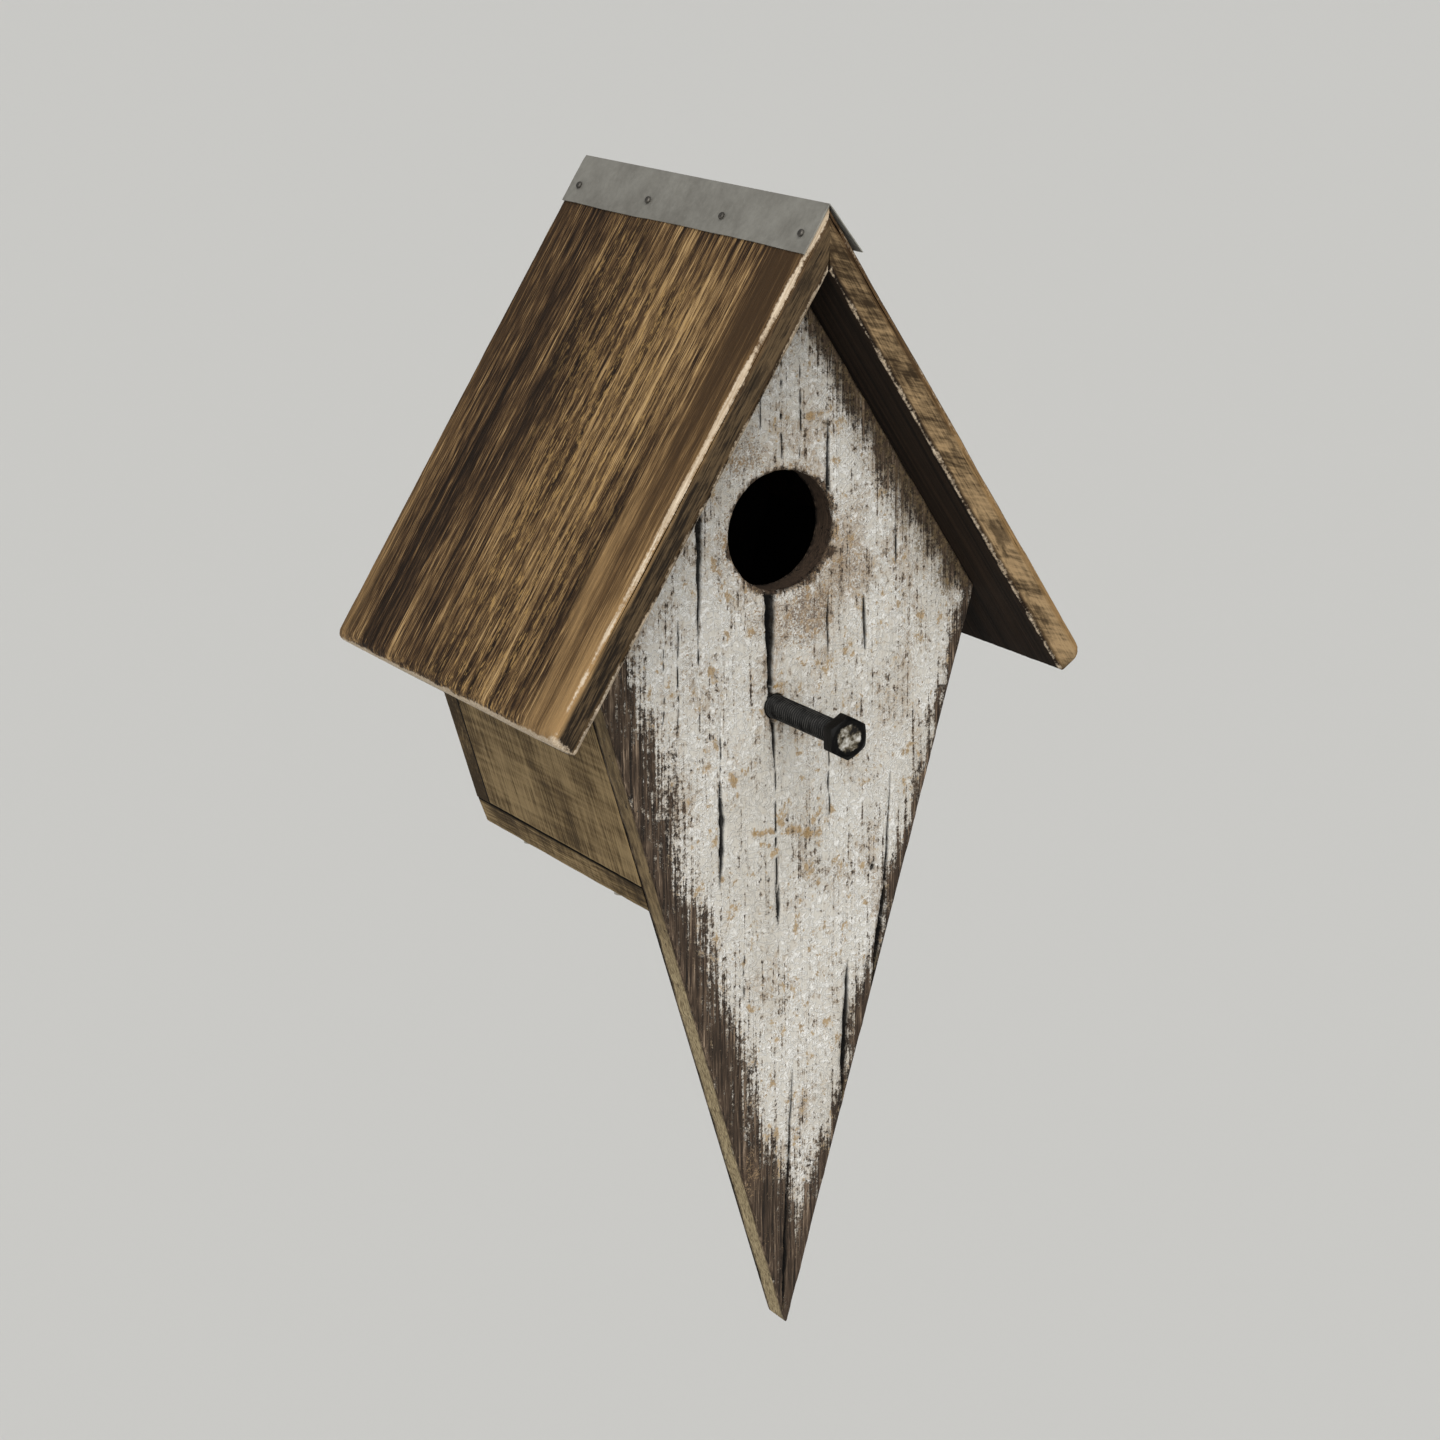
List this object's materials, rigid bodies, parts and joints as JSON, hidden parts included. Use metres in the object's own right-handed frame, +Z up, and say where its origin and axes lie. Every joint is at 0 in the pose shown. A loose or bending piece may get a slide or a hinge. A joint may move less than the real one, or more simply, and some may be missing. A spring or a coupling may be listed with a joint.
{
  "type": "birdhouse",
  "caption": "Wall-hung wooden nest box with a steep board roof, metal ridge cap, kite-shaped painted front, round entrance hole and a bolt perch.",
  "frame": {"origin": "centre of the keyhole hanger's entry hole, in the wall plane", "axes": "+Z up, +Y out of the back towards the wall, so the front faces -Y"},
  "size_m": [0.1997, 0.1752, 0.3899],
  "materials": {
    "painted_wood": "worn white paint, crackled, over dark brown wood",
    "box_wood": "weathered khaki-brown softwood with saw marks",
    "roof_wood": "dark umber stain brushed along the grain, arrises rubbed pale",
    "cap_sheet": "dull mottled galvanised sheet",
    "nail_steel": "dull, lightly rusted steel",
    "black_steel": "blackened steel, worn on the head",
    "plated_steel": "dull zinc plate"
  },
  "bodies": {
    "root": {"front_board": "painted_wood", "back_board": "box_wood", "left_side_board": "box_wood", "right_side_board": "box_wood", "floor_board": "box_wood", "left_roof_board": "roof_wood", "right_roof_board": "roof_wood", "ridge_cap": "cap_sheet", "ridge_cap_nails_left": "nail_steel", "ridge_cap_nails_right": "nail_steel", "perch_bolt": "black_steel", "perch_washer": "black_steel", "perch_nut": "black_steel", "keyhole_hanger": "plated_steel", "hanger_screws": "plated_steel", "front_board_brads": "nail_steel", "back_board_nails": "nail_steel", "floor_screws": "plated_steel", "left_roof_brads": "nail_steel", "right_roof_brads": "nail_steel"}
  },
  "joints": []
}
